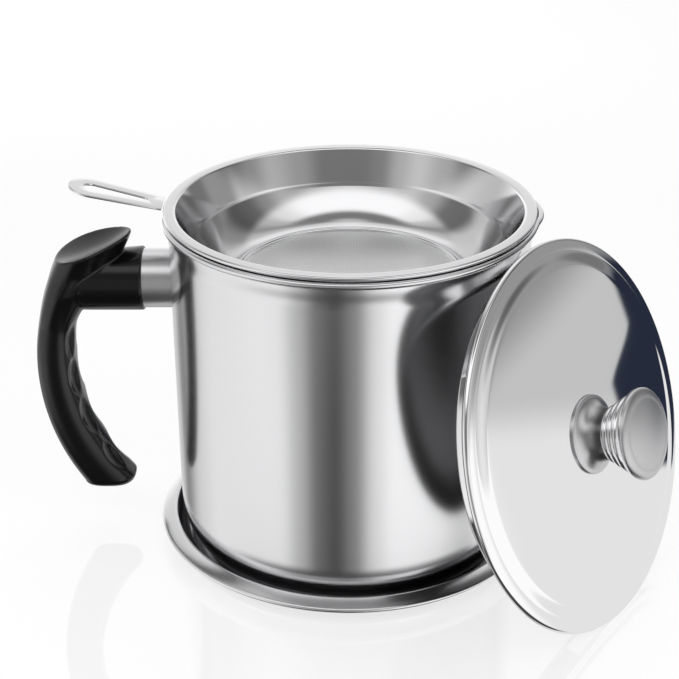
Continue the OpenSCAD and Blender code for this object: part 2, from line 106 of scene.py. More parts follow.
def spin(name, outline, sides=256, swell=None, crease=40):
    """Turns a closed outline of (radius, height) points about the Z axis."""
    verts, rows = [], []
    for r, z in outline:
        count = 1 if r < 1e-6 else sides
        rows.append(range(len(verts), len(verts) + count))
        for k in range(count):
            turn = 2 * math.pi * k / sides
            reach = r + (swell(turn, r, z) if swell else 0)
            verts.append((reach * math.cos(turn), reach * math.sin(turn), z))
    faces = []
    for low, high in zip(rows, rows[1:] + rows[:1]):
        if len(low) + len(high) > 2:
            for k in range(sides):
                n = (k + 1) % sides
                corners = (low[k % len(low)], low[n % len(low)],
                           high[n % len(high)], high[k % len(high)])
                faces.append(tuple(dict.fromkeys(corners)))
    return finish_mesh(name, verts, faces, crease)


def socket(group, name, kind, side, value=None):
    made = group.interface.new_socket(name=name, in_out=side, socket_type=kind)
    if value is not None:
        made.default_value = value


def math_node(tree, work, *inputs):
    node = tree.nodes.new("ShaderNodeMath")
    node.operation = work
    for i, value in enumerate(inputs):
        if isinstance(value, (int, float)):
            node.inputs[i].default_value = value
        else:
            tree.links.new(value, node.inputs[i])
    return node.outputs[0]


def noise_node(tree, vector, scale, detail=2.0, rough=0.5, kind="3D", w=None):
    node = tree.nodes.new("ShaderNodeTexNoise")
    node.noise_dimensions = kind
    tree.links.new(vector, node.inputs["Vector"])
    node.inputs["Scale"].default_value = scale
    node.inputs["Detail"].default_value = detail
    node.inputs["Roughness"].default_value = rough
    if w is not None:
        tree.links.new(w, node.inputs["W"])
    return node.outputs[0]


def multiplied(tree, a, b):
    """One colour times another; either may be a colour or a socket."""
    node = tree.nodes.new("ShaderNodeMix")
    node.data_type = "RGBA"
    node.blend_type = "MULTIPLY"
    node.inputs["Factor"].default_value = 1.0
    for given, name in ((a, "A"), (b, "B")):
        if isinstance(given, tuple):
            node.inputs[name].default_value = (*given, 1.0)
        else:
            tree.links.new(given, node.inputs[name])
    return node.outputs["Result"]


def raised(tree, height, strength, distance):
    """Normals of a surface whose height varies by this value."""
    node = tree.nodes.new("ShaderNodeBump")
    node.inputs["Strength"].default_value = strength
    node.inputs["Distance"].default_value = distance
    tree.links.new(height, node.inputs["Height"])
    return node.outputs["Normal"]


def own_place(tree, frame_of=None):
    """Coordinates in the frame that the piece was turned in."""
    place = tree.nodes.new("ShaderNodeTexCoord").outputs["Object"]
    if frame_of is None:
        return place
    back = tree.nodes.new("ShaderNodeMapping")
    back.vector_type = "TEXTURE"
    tree.links.new(place, back.inputs["Vector"])
    back.inputs["Location"].default_value = frame_of.to_translation()
    back.inputs["Rotation"].default_value = frame_of.to_euler()
    return back.outputs[0]


def turned_grain(frame_of=None):
    """Fine lines left by a turning or brushing wheel that runs round the axis."""
    tree = bpy.data.node_groups.new("turned_grain", "ShaderNodeTree")
    socket(tree, "Lines per mm", "NodeSocketFloat", "INPUT", 3.0)
    socket(tree, "Depth", "NodeSocketFloat", "INPUT", 0.1)
    socket(tree, "Tone", "NodeSocketFloat", "OUTPUT")
    socket(tree, "Height", "NodeSocketFloat", "OUTPUT")
    given = tree.nodes.new("NodeGroupInput")
    out = tree.nodes.new("NodeGroupOutput")
    parts = tree.nodes.new("ShaderNodeSeparateXYZ")
    tree.links.new(own_place(tree, frame_of), parts.inputs[0])
    x, y, z = parts.outputs
    radius = math_node(tree, "SQRT", math_node(
        tree, "ADD", math_node(tree, "MULTIPLY", x, x), math_node(tree, "MULTIPLY", y, y)))
    lines = math_node(tree, "MULTIPLY", given.outputs["Lines per mm"], 1000.0)
    across = tree.nodes.new("ShaderNodeCombineXYZ")
    for i, part in enumerate((x, y)):
        unit = math_node(tree, "DIVIDE", part, math_node(tree, "MAXIMUM", radius, 0.001))
        tree.links.new(math_node(tree, "MULTIPLY", unit, 2.2), across.inputs[i])
    tree.links.new(math_node(tree, "MULTIPLY", z, lines), across.inputs[2])
    grain = noise_node(tree, across.outputs[0], 1.0, 3.0, 0.65, "4D",
                       math_node(tree, "MULTIPLY", radius, lines))
    centred = math_node(tree, "SUBTRACT", grain, 0.5)
    deep = math_node(tree, "MULTIPLY", centred, given.outputs["Depth"])
    tree.links.new(math_node(tree, "ADD", deep, 1.0), out.inputs["Tone"])
    tree.links.new(deep, out.inputs["Height"])
    return tree


def handling_marks(frame_of=None):
    """Faint smears and hairline scratches that washing leaves on bright steel."""
    tree = bpy.data.node_groups.new("handling_marks", "ShaderNodeTree")
    socket(tree, "Base Roughness", "NodeSocketFloat", "INPUT", 0.1)
    socket(tree, "Smear", "NodeSocketFloat", "INPUT", 0.03)
    socket(tree, "Roughness", "NodeSocketFloat", "OUTPUT")
    given = tree.nodes.new("NodeGroupInput")
    out = tree.nodes.new("NodeGroupOutput")
    place = own_place(tree, frame_of)
    cloud = noise_node(tree, place, 28.0, 3.0, 0.55)
    fine = noise_node(tree, place, 240.0, 2.0, 0.6)
    mixed = math_node(tree, "ADD", math_node(tree, "MULTIPLY", cloud, 0.75),
                      math_node(tree, "MULTIPLY", fine, 0.25))
    smear = math_node(tree, "MULTIPLY", math_node(tree, "SUBTRACT", mixed, 0.42),
                      given.outputs["Smear"])
    rough = math_node(tree, "ADD", given.outputs["Base Roughness"], smear)
    tree.links.new(math_node(tree, "MAXIMUM", rough, 0.015), out.inputs["Roughness"])
    return tree


GRAIN = turned_grain()
MARKS = handling_marks()
LINE_DEPTH = 0.00002


def steel(name, colour, rough, smear, lines, depth, bump, grain_of=GRAIN, marks_of=MARKS):
    """Stainless steel: turned lines in its tone and height, smears in its gloss."""
    finish = bpy.data.materials.new(name)
    finish.use_nodes = True
    tree = finish.node_tree
    shader = tree.nodes["Principled BSDF"]
    shader.inputs["Metallic"].default_value = 1.0
    grain = tree.nodes.new("ShaderNodeGroup")
    grain.node_tree = grain_of
    grain.inputs["Lines per mm"].default_value = lines
    grain.inputs["Depth"].default_value = depth
    marks = tree.nodes.new("ShaderNodeGroup")
    marks.node_tree = marks_of
    marks.inputs["Base Roughness"].default_value = rough
    marks.inputs["Smear"].default_value = smear
    tree.links.new(multiplied(tree, colour, grain.outputs["Tone"]), shader.inputs["Base Color"])
    tree.links.new(marks.outputs["Roughness"], shader.inputs["Roughness"])
    tree.links.new(raised(tree, grain.outputs["Height"], bump, LINE_DEPTH),
                   shader.inputs["Normal"])
    return finish


crest_x = TRAY_WALL + CREST_OUT + TRAY_CREST_R
tray_path = (
    [(0, TRAY_SHEET / 2)]
    + arc(TRAY_WALL - TRAY_CORNER, TRAY_SHEET / 2 + TRAY_CORNER, TRAY_CORNER, -90, 0)
    + arc(crest_x, TRAY_CREST - TRAY_CREST_R, TRAY_CREST_R, 180, 75)
    + [(crest_x + TRAY_BAND, TRAY_CREST - TRAY_DROP)]
)
tray = spin("drip_tray", sheet_outline(tray_path, TRAY_SHEET, TRAY_BEAD))
tray_steel = steel("tray_sheet", (0.82, 0.82, 0.83),
                   rough=0.22, smear=0.04, lines=1.6, depth=0.03, bump=0.15)
# Painted shade: dark steel for the tray's inner wall and corner, so the gap under the pot shows
# dark.
painted_shade_steel = steel("tray_painted_shade", (0.16, 0.16, 0.165),
             rough=0.34, smear=0.05, lines=2.0, depth=0.12, bump=0.5)
tray.data.materials.append(tray_steel)
tray.data.materials.append(painted_shade_steel)
# The inner wall and corner faces take the painted shade.
for face in tray.data.polygons:
    reach = math.hypot(face.center.x, face.center.y)
    below_crest = TRAY_SHEET / 2 * MM < face.center.z < (TRAY_CREST - 2) * MM
    if below_crest and (TRAY_WALL - TRAY_CORNER) * MM < reach < (TRAY_WALL - 0.1) * MM:
        face.material_index = 1
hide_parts("tray")
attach(tray, "tray")

# ---- Pot ----
# Deep drawn from 0.8 mm stainless sheet and brushed round its axis. The neck
# flares a little, the rim is rolled outwards, and one place is pressed into a lip.
POT_R = 70.0
POT_BASE = 0.7
POT_TOP = 138.9
POT_SHEET = 0.8
POT_CORNER = 11.0
CORNER_PULL, CORNER_RISE, CORNER_TOP = 7.2, 8.5, 21.0
NECK_H = 10.0
RIM_BEAD = 1.3
RIM_R = 72.6
LIP_R = 32.0
LIP_X = 42.5
LIP_BLEND = 0.55
neck_top = POT_TOP - RIM_BEAD
neck_bottom = neck_top - NECK_H


def lip_swell(turn, r, z):
    """How far the pouring lip pushes the neck and rim out at this angle."""
    side = LIP_X * math.sin(turn)
    if abs(side) >= LIP_R or math.cos(turn) <= 0:
        return 0.0
    over = LIP_X * math.cos(turn) + math.sqrt(LIP_R**2 - side**2) - RIM_R
    push = (over + math.sqrt(over * over + LIP_BLEND**2)) / 2
    rise = min(1.0, max(0.0, (z - neck_bottom - 0.6) / (NECK_H - 1.2)))
    inside = 1.0 if r > POT_R - 6 else 0.0
    return max(0.0, push - 0.02) * rise * rise * (3 - 2 * rise) * inside


def bezier(pulls, steps):
    """Points of the curve from the first to the last of four pull points."""
    points = []
    for i in range(steps + 1):
        t = i / steps
        weights = ((1 - t) ** 3, 3 * t * (1 - t) ** 2, 3 * t * t * (1 - t), t**3)
        points.append(tuple(sum(w * p[k] for w, p in zip(weights, pulls)) for k in (0, 1)))
    return points


half = POT_SHEET / 2
neck = [
    (POT_R - half + (RIM_R - 2 * RIM_BEAD + POT_SHEET - POT_R) * (1 - math.cos(math.pi * t)) / 2,
     neck_bottom + NECK_H * t)
    for t in (i / 16 for i in range(17))
]
base_curve = bezier(((POT_R - POT_CORNER, POT_BASE + half),
                     (POT_R - POT_CORNER + CORNER_PULL, POT_BASE + half),
                     (POT_R - half, CORNER_RISE), (POT_R - half, CORNER_TOP)), 40)
pot_path = (
    [(0, POT_BASE + half)] + base_curve
    + [(POT_R - half, z) for z in range(28, 124, 12)]
    + neck
)
pot = spin("pot_shell_drawn", sheet_outline(pot_path, POT_SHEET, RIM_BEAD), 360, lip_swell)
brushed = steel("brushed_wall", (0.78, 0.78, 0.79),
                rough=0.17, smear=0.03, lines=5.0, depth=0.07, bump=0.5)
pot.data.materials.append(brushed)
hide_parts("pot_shell")
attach(pot, "pot")

# ---- Handle fixings ----
# A ferrule of drawn tube spans from the wall to the grip. Inside it a bracket is
# spot-welded to the pot, and a long screw through the grip pulls all tight.
AXIS_Z = 110.0
FERRULE_R = 11.7
FERRULE_WALL = 0.8
FERRULE_IN = 82.6


def outer_wall_x(y, wall_r):
    return -math.sqrt(max(0.0, wall_r * wall_r - y * y))


def ferrule_points(radius, sides):
    """Rings of the tube from the pot's wall outwards, its root cut to the wall."""
    turns = [2 * math.pi * k / sides for k in range(sides)]
    root = [(outer_wall_x(radius * math.sin(a), POT_R + 0.02), radius * math.sin(a),
             AXIS_Z + radius * math.cos(a)) for a in turns]
    tip = [(-FERRULE_IN, radius * math.sin(a), AXIS_Z + radius * math.cos(a)) for a in turns]
    return root, tip


SIDES = 128
outer, inner = ferrule_points(FERRULE_R, SIDES), ferrule_points(FERRULE_R - FERRULE_WALL, SIDES)
steps = 12
verts, rows = [], []
for (root, tip), forward in ((outer, True), (inner, False)):
    for i in range(steps + 1):
        t = i / steps if forward else 1 - i / steps
        rows.append(range(len(verts), len(verts) + SIDES))
        verts += [tuple(Vector(a).lerp(Vector(b), t)) for a, b in zip(root, tip)]
faces = []
for low, high in zip(rows, rows[1:] + rows[:1]):
    faces += [(low[k], low[(k + 1) % SIDES], high[(k + 1) % SIDES], high[k]) for k in range(SIDES)]
ferrule = finish_mesh("ferrule_tube", verts, faces)
drawn_tube = steel("drawn_tube", (0.74, 0.74, 0.75),
                   rough=0.3, smear=0.05, lines=2.0, depth=0.06, bump=0.4)
ferrule.data.materials.append(drawn_tube)
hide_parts("ferrule")
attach(ferrule, "pot")

zinc = steel("zinc_fastener", (0.60, 0.60, 0.62),
             rough=0.28, smear=0.08, lines=2.5, depth=0.1, bump=0.6)
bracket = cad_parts["handle_bracket"]
bracket.data.materials.clear()
bracket.data.materials.append(zinc)


def cut_away(piece, tool):
    """Cuts the tool's shape out of a piece and drops the tool."""
    cut = piece.modifiers.new("cut", "BOOLEAN")
    cut.operation = "DIFFERENCE"
    cut.solver = "EXACT"
    cut.object = tool
    bake(piece)
    bpy.data.objects.remove(tool)


def bake(piece):
    """Keeps the shape that the modifiers give and drops the modifiers."""
    shape = bpy.data.meshes.new_from_object(
        piece.evaluated_get(bpy.context.evaluated_depsgraph_get()))
    piece.modifiers.clear()
    piece.data = shape


def pan_screw(name, shank_r, shank_h, head_r, head_h, pitch):
    """A cross-slotted pan head standing on Z 0, its threaded shank below it."""
    rise = head_h * 0.55
    outline = [(0, -shank_h), (shank_r * 0.8, -shank_h)]
    turns = int((shank_h - 1.2) / pitch)
    for i in range(turns):
        z = -shank_h + 0.6 + i * pitch
        outline += [(shank_r * 0.84, z), (shank_r, z + 0.4 * pitch), (shank_r, z + 0.5 * pitch)]
    outline += [(shank_r * 0.84, -0.5), (shank_r * 0.84, 0), (head_r - 0.2, 0), (head_r, 0.2)]
    outline += [(head_r * math.cos(a), head_h - rise + rise * math.sin(a))
                for a in (math.pi / 2 * i / 12 for i in range(13))]
    made = spin(name, outline, 96)
    for turn in (0, math.pi / 2):
        wide, deep = 0.16 * head_r, 0.52 * head_r
        box = [(sx * deep, sy * wide, head_h * z) for z in (0.5, 1.4)
               for sx, sy in ((-1, -1), (1, -1), (1, 1), (-1, 1))]
        blade = finish_mesh("blade", box, [(0, 1, 2, 3), (4, 5, 6, 7), (0, 1, 5, 4),
                                           (1, 2, 6, 5), (2, 3, 7, 6), (3, 0, 4, 7)])
        blade.data.transform(Matrix.Rotation(turn + 0.4, 4, "Z"))
        cut_away(made, blade)
    made.data.shade_smooth()
    made.data.set_sharp_from_angle(angle=math.radians(35))
    made.data.materials.clear()
    made.data.materials.append(zinc)
    return made


def flat_washer(name, outer_r, bore_r, thick):
    made = spin(name, [(bore_r, 0), (outer_r, 0), (outer_r, thick - 0.15),
                       (outer_r - 0.15, thick), (bore_r, thick)], 96)
    made.data.materials.append(zinc)
    return made


SCREW_SEAT_X = -110.0
into_pot = Matrix.Translation((SCREW_SEAT_X * MM, 0, AXIS_Z * MM)) @ Matrix.Rotation(
    math.radians(-90), 4, "Y")
grip_screw = pan_screw("grip_screw_pan", shank_r=2.5, shank_h=38, head_r=4.3, head_h=3.2,
                       pitch=0.8)
grip_screw.matrix_world = into_pot @ Matrix.Translation((0, 0, 1.0 * MM))
washer = flat_washer("grip_washer_flat", outer_r=4.7, bore_r=2.6, thick=1.0)
washer.matrix_world = into_pot
for piece, node in ((grip_screw, "grip_screw"), (washer, "screw_washer")):
    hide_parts(node)
    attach(piece, "pot")

# ---- Grip ----
# One moulding in black bakelite: a curved body that fans out at the elbow into a
# dished thumb rest, a round arm over the ferrule, and hollows for four fingers.
BACK_R = 95.99
FINGER_R = 83.7
BACK_MID = Vector((-29.6, 71.5))
FINGER_MID = BACK_MID + Vector((3.2, 6.3))
ELBOW_W, END_W = 22.0, 16.8
BODY_POWER = 2.7
ARM_R = 12.7
ARM_END = 80.5
ELBOW_DROP = 17.7
THUMB_TAIL = 8.2
THUMB_LEN, THUMB_W = 32.2, 28.8
THUMB_SLOPE, THUMB_DIP, THUMB_EGG = 19.5, 2.8, -0.26
RIM_FLARE = 1.8
HEEL_DROP = 89.7
FINGERS = ((10.3, 0.75), (-0.8, 0.95), (-14.2, 1.05), (-29.6, 0.95))
FINGER_DIP = 2.7
HOLLOW_R, HOLLOW_LEN, HOLLOW_SIDE = 8.5, 17.5, 7.5
ELBOW_PULL, RIM_PULL = Vector((1.5, 9)), Vector((4.5, 14))
GRIP_SKIN = 0.4


def loft(name, rings):
    count = len(rings[0])
    verts = [p for ring in rings for p in ring]
    faces = [tuple(range(count)), tuple(range(len(verts) - count, len(verts)))]
    for j in range(len(rings) - 1):
        a = j * count
        for k in range(count):
            n = (k + 1) % count
            faces.append((a + k, a + n, a + count + n, a + count + k))
    return finish_mesh(name, verts, faces)


def grip_ray(angle):
    return Vector((-math.cos(math.radians(angle)), math.sin(math.radians(angle))))


def on_back(angle, out=0.0):
    return BACK_MID + (BACK_R + out) * grip_ray(angle)


def on_fingers(angle):
    ray, d = grip_ray(angle), FINGER_MID - BACK_MID
    s = ray.dot(d)
    return BACK_MID + (s + math.sqrt(FINGER_R**2 - d.dot(d) + s * s)) * ray


def back_angle(z):
    return math.degrees(math.asin((z - BACK_MID.y) / BACK_R))


def section(back, front, half_w, power, egg=0.0, count=112):
    """Rounded section of the moulding, from its back to its finger side."""
    mid, half = (back + front) / 2, (front - back) / 2
    ring = []
    for i in range(count):
        phi = 2 * math.pi * i / count
        c, s = math.cos(phi), math.sin(phi)
        q = (abs(c) ** power + abs(s) ** power) ** (-1 / power)
        p = mid + half * (q * c)
        ring.append((p.x, half_w * q * s * (1 + egg * c), p.y))
    return ring


elbow_a, rim_a = back_angle(AXIS_Z - ELBOW_DROP), back_angle(AXIS_Z + THUMB_TAIL)
heel_a = back_angle(AXIS_Z - HEEL_DROP)
toe_a, fan_a = heel_a - 7.2, heel_a + 9
thumb_dir = Vector((math.cos(math.radians(THUMB_SLOPE)), math.sin(math.radians(THUMB_SLOPE))))
thumb_up = Vector((-thumb_dir.y, thumb_dir.x))
rim_back = on_back(rim_a, RIM_FLARE)
rim_front = rim_back + THUMB_LEN * thumb_dir
RIM_IN, RIM_RISE = 0.93, 0.35

saucer = [(RIM_IN * i / 18, RIM_RISE - THUMB_DIP * (1 - (i / 18) ** 2)) for i in range(1, 19)]
saucer += [(0.95, RIM_RISE + 0.08), (0.968, RIM_RISE + 0.1), (0.985, RIM_RISE - 0.08)]
rings = []
for k, up in saucer:
    m, h = (rim_back + rim_front) / 2 + up * thumb_up, THUMB_LEN / 2 * k * thumb_dir
    rings.append(section(m - h, m + h, THUMB_W / 2 * k, 2, THUMB_EGG))
start = on_fingers(elbow_a)
pulls = (start, start + ELBOW_PULL, rim_front - RIM_PULL, rim_front)
for i, point in reversed(list(enumerate(bezier(pulls, 40)))[1:]):
    t, front = i / 40, Vector(point)
    flare = max(0.0, (t - 0.72) / 0.28) ** 1.2
    body_w = ELBOW_W + (2 * ARM_R + 0.4 - ELBOW_W) * min(1.0, 2 * t)
    rings.append(section(
        on_back(elbow_a + (rim_a - elbow_a) * t, RIM_FLARE * t**1.3), front,
        (body_w + (THUMB_W - body_w) * flare) / 2,
        BODY_POWER + (2 - BODY_POWER) * t, THUMB_EGG * min(1.0, 1.6 * t)))
for i in range(101):
    t = i / 100
    angle = elbow_a + (toe_a - elbow_a) * t
    back_a = angle
    if angle < fan_a:
        back_a = fan_a + (angle - fan_a) * (heel_a - fan_a) / (toe_a - fan_a)
    rings.append(section(on_back(back_a), on_fingers(angle),
                         (ELBOW_W + (END_W - ELBOW_W) * t) / 2, BODY_POWER))
for i in range(1, 13):
    turn = math.pi / 2 * i / 12
    inset, down = 1 - math.cos(turn), math.sin(turn)
    rings.append(section(on_back(heel_a) + Vector((2.3 * inset, -2.3 * down)),
                         on_fingers(toe_a) - Vector((4.5 * inset, 4.8 * down)),
                         END_W / 2 * (1 - 0.45 * inset), BODY_POWER))
body = loft("grip_moulding", rings)


hollow_outline = [(max(0.0, 1 - (i / 14) ** 2), i / 14) for i in range(-14, 15)]
for side in (-1, 1):
    for angle, share in FINGERS:
        deep = HOLLOW_R * share
        at = on_fingers(angle) + (FINGER_DIP - deep) * grip_ray(angle)
        spindle = spin("finger_hollow", [(deep * r, HOLLOW_LEN * share * h)
                                         for r, h in hollow_outline], 64)
        spindle.data.transform(
            Matrix.Translation(Vector((at.x, side * HOLLOW_SIDE, at.y)) * MM)
            @ Matrix.Rotation(math.radians(angle), 4, "Y"))
        cut_away(body, spindle)

elbow_x = BACK_MID.x - math.sqrt((BACK_R - ARM_R - 0.3) ** 2 - (AXIS_Z - BACK_MID.y) ** 2)
arm_rings = [(ARM_R - 0.5, -ARM_END), (ARM_R - 0.15, -ARM_END - 0.15), (ARM_R, -ARM_END - 0.5)]
arm_rings += [(r, elbow_x - out) for r, out in arc(0, 0, ARM_R, 0, 84, 20)]
arm = loft("arm", [
    [(x, r * math.sin(a), AXIS_Z + min(r * math.cos(a), rim_back.y - AXIS_Z - THUMB_DIP - 1.2
                                       + (x - rim_back.x) * thumb_dir.y / thumb_dir.x))
     for a in (2 * math.pi * i / 96 for i in range(96))] for r, x in arm_rings])
with_arm = bmesh.new()
for part in (body, arm):
    with_arm.from_mesh(part.data)
with_arm.to_mesh(body.data)
with_arm.free()
bpy.data.objects.remove(arm)

remesh = body.modifiers.new("one_skin", "REMESH")
remesh.mode = "VOXEL"
remesh.voxel_size = GRIP_SKIN * MM
relax = body.modifiers.new("relax", "CORRECTIVE_SMOOTH")
relax.use_only_smooth = True
relax.factor = 0.5
relax.iterations = 7
bake(body)
for radius, x0, x1 in ((FERRULE_R + 0.1, -ARM_END + 1, -FERRULE_IN - 0.1),
                       (5.5, -ARM_END + 1, -85.2), (2.7, -80, -118),
                       (4.9, SCREW_SEAT_X, -140)):
    cut_away(body, loft("bore", [
        [(x, radius * math.sin(a), AXIS_Z + radius * math.cos(a))
         for a in (2 * math.pi * i / 96 for i in range(96))] for x in (x0, x1)]))
body.data.shade_smooth()
body.data.set_sharp_from_angle(angle=math.radians(50))



def level_ramp(tree, value, stops, shape="LINEAR"):
    """Looks a value up among stops: each is (place from 0 to 1, level or colour)."""
    node = tree.nodes.new("ShaderNodeValToRGB")
    node.color_ramp.interpolation = shape
    while len(node.color_ramp.elements) < len(stops):
        node.color_ramp.elements.new(0.5)
    for element, (at, level) in zip(node.color_ramp.elements, stops):
        element.position = at
        element.color = (*(level if isinstance(level, tuple) else (level,) * 3), 1)
    tree.links.new(value, node.inputs[0])
    return node.outputs[0]


bakelite = bpy.data.materials.new("black_bakelite")
bakelite.use_nodes = True
tree = bakelite.node_tree
shader = tree.nodes["Principled BSDF"]
place = own_place(tree)
mottle = level_ramp(tree, noise_node(tree, place, 260.0, 3.0),
                    [(0, (0.0018, 0.0018, 0.0019)), (1, (0.0042, 0.0042, 0.0044))])
tree.links.new(mottle, shader.inputs["Base Color"])
wear = noise_node(tree, place, 45.0, 4.0, 0.6)
tree.links.new(math_node(tree, "ADD", 0.17, math_node(tree, "MULTIPLY", wear, 0.12)),
               shader.inputs["Roughness"])
orange_peel = noise_node(tree, place, 1400.0, 2.0)
tree.links.new(raised(tree, orange_peel, 0.1, 0.00005), shader.inputs["Normal"])
body.data.materials.clear()
body.data.materials.append(bakelite)
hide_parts("grip")
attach(body, "pot")

# ---- Strainer bowl ----
# Spun from 0.6 mm sheet: a flat flange with a rolled edge rests on the pot's rim,
# an upper wall draws in to a step, and a rounded well runs down to the mesh.
FLANGE_R = 71.7
FLANGE_TOP = 141.1
FLANGE_BEAD = 0.95
MOUTH_R = 66.8
MOUTH_ROUND = 1.3
STEP_R = 61.2
STEP_Z = 128.5
MESH_Z = 112.5
MESH_R = 42.2
STRAINER_SHEET = 0.6
SHELF_R = 45.5
half = STRAINER_SHEET / 2
band_z = FLANGE_TOP - half
foot = (STEP_R - 0.9, STEP_Z - 1.9)
well = bezier(((SHELF_R, MESH_Z - half), (SHELF_R + 6.3, MESH_Z + 0.5),
               (foot[0] - 3.3, foot[1] - 5.6), foot), 32)
bowl_path = (
    [(MESH_R - 1.2, MESH_Z - half)] + well
    + [(STEP_R - 0.55, STEP_Z - 0.9), (STEP_R - 0.3, STEP_Z - 0.2)]
    + arc(MOUTH_R + MOUTH_ROUND, band_z - MOUTH_ROUND, MOUTH_ROUND, 158, 90)
    + [(FLANGE_R - FLANGE_BEAD, band_z)]
)
bowl = spin("strainer_bowl_spun", sheet_outline(bowl_path, STRAINER_SHEET, FLANGE_BEAD), 320)
spun_bright = steel("spun_bright", (0.80, 0.80, 0.81),
                    rough=0.11, smear=0.05, lines=2.2, depth=0.06, bump=0.4)
bowl.data.materials.append(spun_bright)
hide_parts("strainer_bowl")
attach(bowl, "strainer")

# ---- Strainer mesh ----
# A disc of thin sheet, etched with rows of fine round holes. A ring of half-round
# section, rolled down over its edge, clamps it to the bowl's shelf.
MESH_T = 0.4
HOLE_PITCH = 1.25
HOLE_R = 0.29
MESH_EDGE = 44.6
SIDES = 6

row_step = HOLE_PITCH * math.sin(math.radians(60))
cell_r = HOLE_PITCH / math.sqrt(3)
verts, faces, corner_at = [], [], {}


def corner(x, y):
    """One shared point, top and bottom, where three cells meet."""
    key = (round(x * 100), round(y * 100))
    if key not in corner_at:
        corner_at[key] = len(verts)
        verts.extend([(x, y, MESH_Z + MESH_T), (x, y, MESH_Z)])
    return corner_at[key]


rows_out = int(MESH_EDGE / row_step) + 1
for row in range(-rows_out, rows_out + 1):
    for col in range(-rows_out - 4, rows_out + 5):
        x = (col + (0 if row % 2 == 0 else 0.5)) * HOLE_PITCH
        y = row * row_step
        if math.hypot(x, y) > MESH_EDGE - cell_r:
            continue
        turns = [math.radians(30 + 60 * k) for k in range(SIDES)]
        rim = [corner(x + cell_r * math.cos(a), y + cell_r * math.sin(a)) for a in turns]
        if math.hypot(x, y) > MESH_R - 0.7:
            faces.append(tuple(rim))
            faces.append(tuple(v + 1 for v in reversed(rim)))
            continue
        start = len(verts)
        for a in turns:
            hx, hy = x + HOLE_R * math.cos(a), y + HOLE_R * math.sin(a)
            verts.extend([(hx, hy, MESH_Z + MESH_T), (hx, hy, MESH_Z)])
        hole = [start + 2 * k for k in range(SIDES)]
        for k in range(SIDES):
            n = (k + 1) % SIDES
            faces.append((rim[k], rim[n], hole[n], hole[k]))
            faces.append((rim[n] + 1, rim[k] + 1, hole[k] + 1, hole[n] + 1))
            faces.append((hole[k], hole[n], hole[n] + 1, hole[k] + 1))
top_edges = dict.fromkeys(
    (a, b) for face in faces for a, b in zip(face, face[1:] + face[:1])
    if a % 2 == 0 and b % 2 == 0)
faces += [(b, a, a + 1, b + 1) for a, b in top_edges if (b, a) not in top_edges]
mesh_disc = finish_mesh("strainer_mesh_etched", verts, faces, 30)
mesh_steel = steel("mesh_sheet", (0.93, 0.93, 0.93),
                   rough=0.35, smear=0.05, lines=2.0, depth=0.1, bump=0.4)
mesh_disc.data.materials.append(mesh_steel)
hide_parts("strainer_mesh")
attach(mesh_disc, "strainer")

RING_W, RING_H = 2.8, 1.3
ring_round = 0.8 * min(RING_H, RING_W / 2)
low = MESH_Z + MESH_T
ring_outline = (
    [(MESH_R, low), (MESH_R + RING_W, low)]
    + arc(MESH_R + RING_W - ring_round, low + RING_H - ring_round, ring_round, 0, 90)
    + arc(MESH_R + ring_round, low + RING_H - ring_round, ring_round, 90, 180)
)
clamp = spin("mesh_clamp_ring", ring_outline)
polished = steel("polished_sheet", (0.80, 0.80, 0.81),
                 rough=0.06, smear=0.03, lines=1.6, depth=0.03, bump=0.3)
clamp.data.materials.append(polished)
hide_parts("mesh_ring")
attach(clamp, "strainer")

# ---- Strainer tab ----
# A slotted tongue of thicker sheet, welded to the flange's edge over the handle,
# with its corners rounded over. It lifts the strainer and hangs it on a hook.
TAB_T = 1.1
TAB_ROOT = FLANGE_R - 3
TAB_LEN = 37.0
TAB_ROOT_W, TAB_END_W = 12.4, 18.0
TAB_TILT = 13.2
SLOT_END_W, SLOT_ROOT_W = 7.2, 3.6
SLOT_NEAR = 11.0


def side_lean(far, end_w, near, near_w):
    """How far the straight sides lean out from the narrow to the wide end."""
    return math.degrees(math.asin((end_w - near_w) / 2 / (far - near)))


tab_far = TAB_LEN - TAB_END_W / 2 + 3
side = side_lean(tab_far, TAB_END_W, 0, TAB_ROOT_W)
root_half = TAB_ROOT_W / 2 + 0.2
outside = ([(3.2, -root_half)] + arc(tab_far, 0, TAB_END_W / 2, -90 - side, 90 + side, 40)
           + [(3.2, root_half)])
slot_far = tab_far - 0.5
side = side_lean(slot_far, SLOT_END_W, SLOT_NEAR, SLOT_ROOT_W)
slot = (arc(slot_far, 0, SLOT_END_W / 2, -90 - side, 90 + side, 24)
        + arc(SLOT_NEAR, 0, SLOT_ROOT_W / 2, 90 + side, 270 - side, 24))
flat = bmesh.new()
loops = []
for line in (outside, slot):
    corners = [flat.verts.new((x, y, 0)) for x, y in line]
    loops += [flat.edges.new((a, b)) for a, b in zip(corners, corners[1:] + corners[:1])]
bmesh.ops.triangle_fill(flat, edges=loops, use_beauty=True)
tilt = math.radians(TAB_TILT)
up = Vector((-math.sin(tilt), 0, math.cos(tilt)))
for v in flat.verts:
    x, y = v.co.x, v.co.y
    v.co = Vector((-TAB_ROOT - x * math.cos(tilt), y,
                   FLANGE_TOP - FLANGE_BEAD + x * math.sin(tilt))) * MM
bmesh.ops.recalc_face_normals(flat, faces=flat.faces)
tab_mesh = bpy.data.meshes.new("strainer_tab_welded")
flat.to_mesh(tab_mesh)
flat.free()
tab = bpy.data.objects.new("strainer_tab_welded", tab_mesh)
bpy.context.scene.collection.objects.link(tab)
thicken = tab.modifiers.new("sheet", "SOLIDIFY")
thicken.thickness = TAB_T * MM
thicken.offset = 0
rounded = tab.modifiers.new("rounded_edges", "BEVEL")
rounded.width = 0.35 * MM
rounded.segments = 3
rounded.limit_method = "ANGLE"
bake(tab)
tab.data.shade_smooth()
tab.data.set_sharp_from_angle(angle=math.radians(50))
tab.data.materials.append(polished)
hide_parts("strainer_tab")
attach(tab, "strainer")
